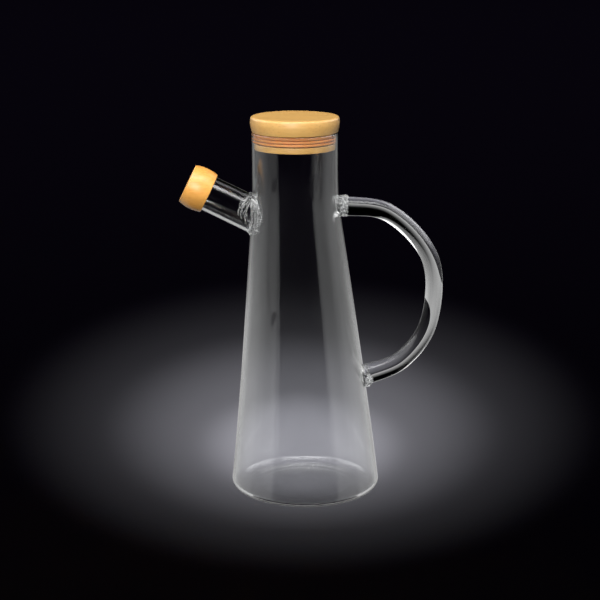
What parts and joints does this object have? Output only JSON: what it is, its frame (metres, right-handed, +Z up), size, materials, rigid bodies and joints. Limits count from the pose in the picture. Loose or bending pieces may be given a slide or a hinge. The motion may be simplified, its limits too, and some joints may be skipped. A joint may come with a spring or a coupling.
{
  "type": "glass oil bottle",
  "caption": "Clear glass oil bottle with a leaning cone body, capped side spout, loop handle and bamboo lid with a silicone seal.",
  "frame": {"origin": "middle of the flat underside of the glass body", "axes": "+Z up, -X towards the pouring spout, +X towards the handle, +Y away from the picture's camera"},
  "size_m": [0.1805, 0.1028, 0.262],
  "materials": {
    "glass": "clear, fire-polished",
    "lid_bamboo": "fine-sanded, thin satin lacquer",
    "silicone": "translucent, satin",
    "cap_bamboo": "fine-sanded, thin satin lacquer"
  },
  "bodies": {
    "root": {"glass_body": "glass", "lid": "lid_bamboo", "lid_seal": "silicone", "spout_cap": "cap_bamboo"}
  },
  "joints": []
}
